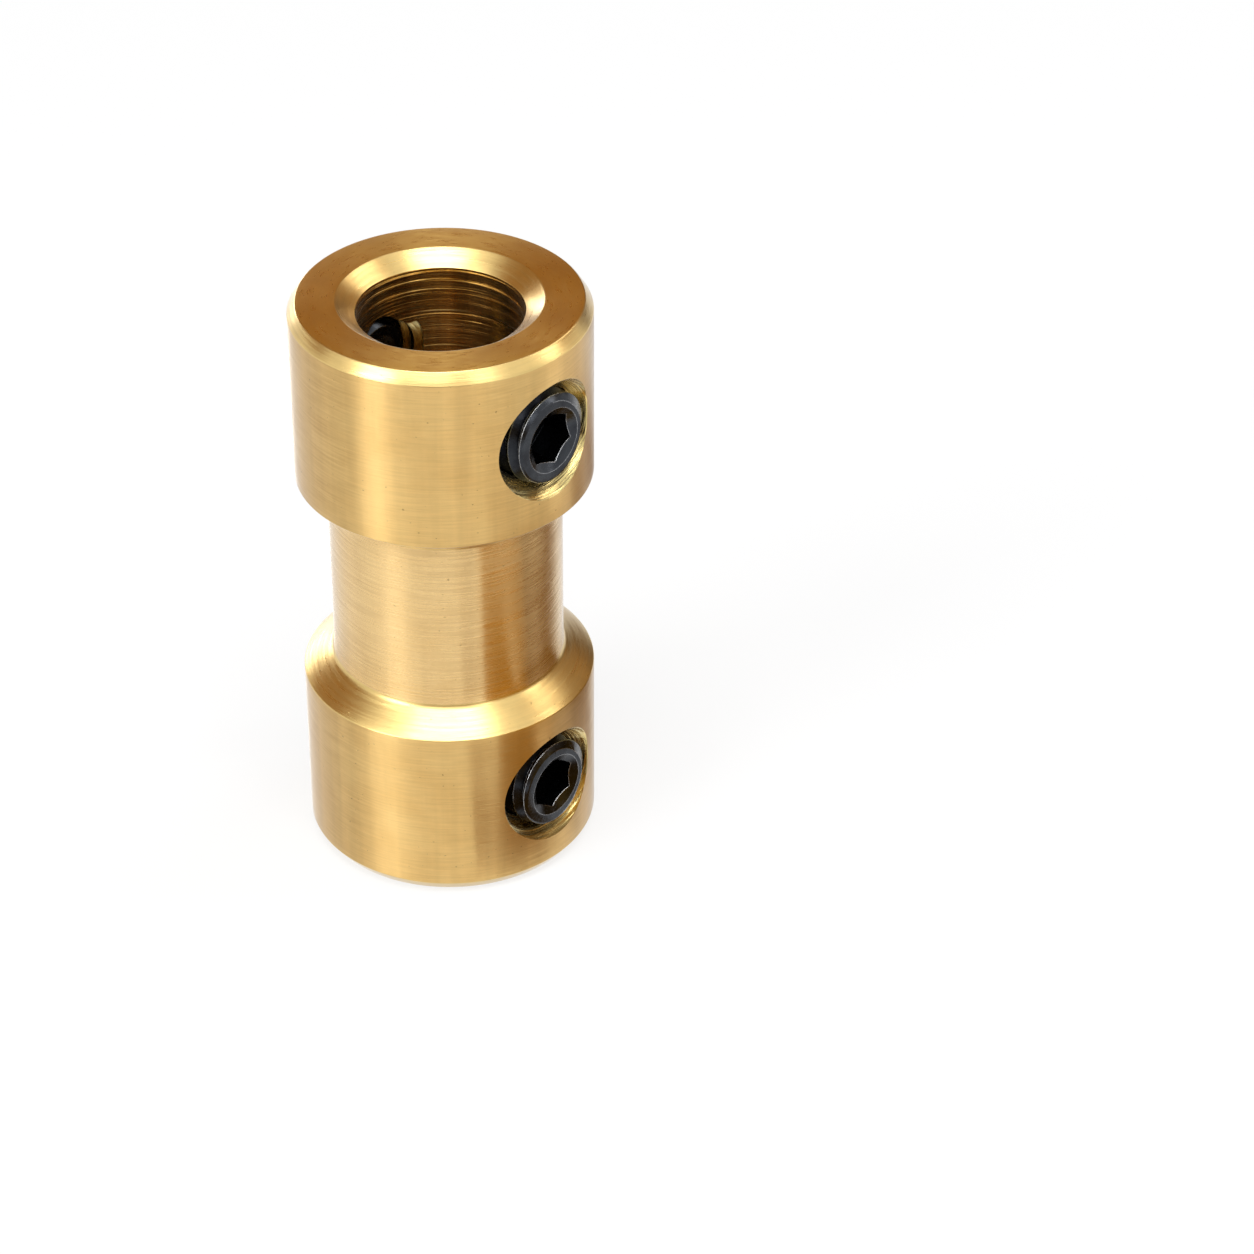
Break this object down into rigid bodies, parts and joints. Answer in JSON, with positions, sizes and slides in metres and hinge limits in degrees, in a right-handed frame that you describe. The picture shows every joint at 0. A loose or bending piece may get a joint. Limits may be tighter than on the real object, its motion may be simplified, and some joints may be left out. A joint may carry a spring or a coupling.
{
  "type": "rigid shaft coupling",
  "caption": "Turned brass sleeve coupling with a through bore, a narrow neck and two collars whose cup-point set screws clamp the shafts.",
  "frame": {"origin": "centre of the lower end face, on the bore's axis", "axes": "+Z along the bore axis towards the upper end, +X through the front set screws"},
  "size_m": [0.009, 0.009, 0.0186],
  "materials": {
    "turned_brass": "fine turned, bright",
    "black_oxide_steel": "black oxide, satin"
  },
  "bodies": {
    "coupling": {"coupling_body": "turned_brass"},
    "upper_front_screw": {"upper_front_set_screw": "black_oxide_steel"},
    "upper_rear_screw": {"upper_rear_set_screw": "black_oxide_steel"},
    "lower_front_screw": {"lower_front_set_screw": "black_oxide_steel"},
    "lower_rear_screw": {"lower_rear_set_screw": "black_oxide_steel"}
  },
  "joints": [
    {"name": "upper_front_screw_travel", "type": "slide", "parent": "coupling", "child": "upper_front_screw", "axis": [1, 0, 0], "range_m": [-0.001, 0.001]},
    {"name": "upper_rear_screw_travel", "type": "slide", "parent": "coupling", "child": "upper_rear_screw", "axis": [-1, 0, 0], "range_m": [-0.001, 0.001]},
    {"name": "lower_front_screw_travel", "type": "slide", "parent": "coupling", "child": "lower_front_screw", "axis": [1, 0, 0], "range_m": [-0.001, 0.001]},
    {"name": "lower_rear_screw_travel", "type": "slide", "parent": "coupling", "child": "lower_rear_screw", "axis": [-1, 0, 0], "range_m": [-0.001, 0.001]}
  ]
}
